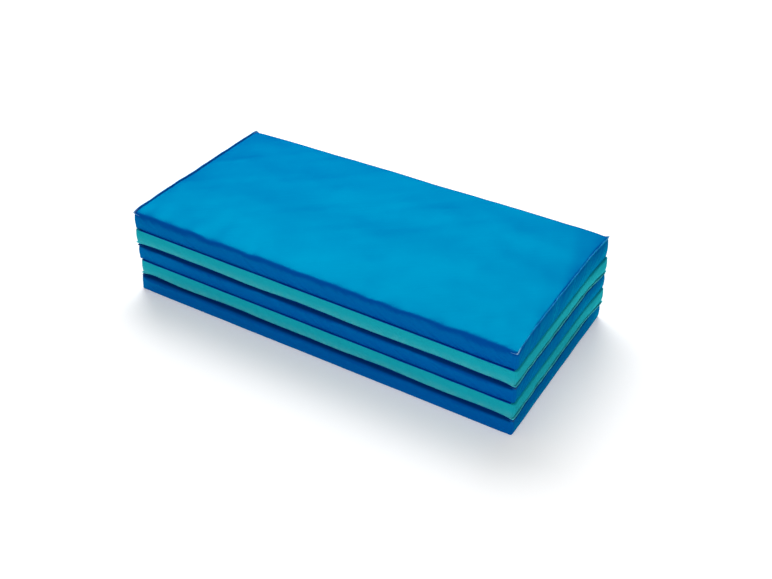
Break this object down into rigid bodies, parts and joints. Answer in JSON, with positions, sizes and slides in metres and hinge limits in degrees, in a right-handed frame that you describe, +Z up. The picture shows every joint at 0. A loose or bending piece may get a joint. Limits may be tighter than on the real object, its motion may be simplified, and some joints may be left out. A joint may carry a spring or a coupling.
{
  "type": "folding gym mat",
  "caption": "Folding gym mat of foam panels in blue and teal vinyl covers, joined by cloth hinges and stacked like a concertina.",
  "frame": {"origin": "centre of the folded stack's footprint, on the floor", "axes": "+X along the panels' long edges, +Y across the panels, +Z up; panel 1 is the top of the stack"},
  "size_m": [1.231, 0.614, 0.262],
  "materials": {
    "blue_vinyl": "smooth vinyl-coated cloth with a soft sheen",
    "teal_vinyl": "smooth vinyl-coated cloth with a soft sheen",
    "hinge_cloth": "heavy coated cloth tape",
    "foam": "open-cell foam block"
  },
  "bodies": {
    "panel_1": {"panel_1_foam_core": "foam", "panel_1_wrap_cover": "blue_vinyl", "panel_1_face_sheet": "blue_vinyl", "panel_1_left_gusset": "blue_vinyl", "panel_1_right_gusset": "blue_vinyl"},
    "panel_2": {"panel_2_foam_core": "foam", "panel_2_wrap_cover": "teal_vinyl", "panel_2_face_sheet": "teal_vinyl", "panel_2_left_gusset": "teal_vinyl", "panel_2_right_gusset": "teal_vinyl", "hinge_strip_1_2": "hinge_cloth"},
    "panel_3": {"panel_3_foam_core": "foam", "panel_3_wrap_cover": "blue_vinyl", "panel_3_face_sheet": "blue_vinyl", "panel_3_left_gusset": "blue_vinyl", "panel_3_right_gusset": "blue_vinyl", "hinge_strip_2_3": "hinge_cloth"},
    "panel_4": {"panel_4_foam_core": "foam", "panel_4_wrap_cover": "teal_vinyl", "panel_4_face_sheet": "teal_vinyl", "panel_4_left_gusset": "teal_vinyl", "panel_4_right_gusset": "teal_vinyl", "hinge_strip_3_4": "hinge_cloth"},
    "panel_5": {"panel_5_foam_core": "foam", "panel_5_wrap_cover": "blue_vinyl", "panel_5_face_sheet": "blue_vinyl", "panel_5_left_gusset": "blue_vinyl", "panel_5_right_gusset": "blue_vinyl", "hinge_strip_4_5": "hinge_cloth"}
  },
  "joints": [
    {"name": "hinge_4_5", "type": "hinge", "parent": "panel_5", "child": "panel_4", "pos_m": [0, 0.306, 0.0518], "axis": [-1, 0, 0], "range_deg": [0, 180], "deforming": ["hinge_strip_4_5"]},
    {"name": "hinge_3_4", "type": "hinge", "parent": "panel_4", "child": "panel_3", "pos_m": [0, -0.306, 0.1046], "axis": [1, 0, 0], "range_deg": [0, 180], "deforming": ["hinge_strip_3_4"]},
    {"name": "hinge_2_3", "type": "hinge", "parent": "panel_3", "child": "panel_2", "pos_m": [0, 0.306, 0.1574], "axis": [-1, 0, 0], "range_deg": [0, 180], "deforming": ["hinge_strip_2_3"]},
    {"name": "hinge_1_2", "type": "hinge", "parent": "panel_2", "child": "panel_1", "pos_m": [0, -0.306, 0.2102], "axis": [1, 0, 0], "range_deg": [0, 180], "deforming": ["hinge_strip_1_2"]}
  ],
  "couplings": [
    {"joint": "hinge_3_4", "follows": "hinge_4_5", "ratio": 1}
  ]
}
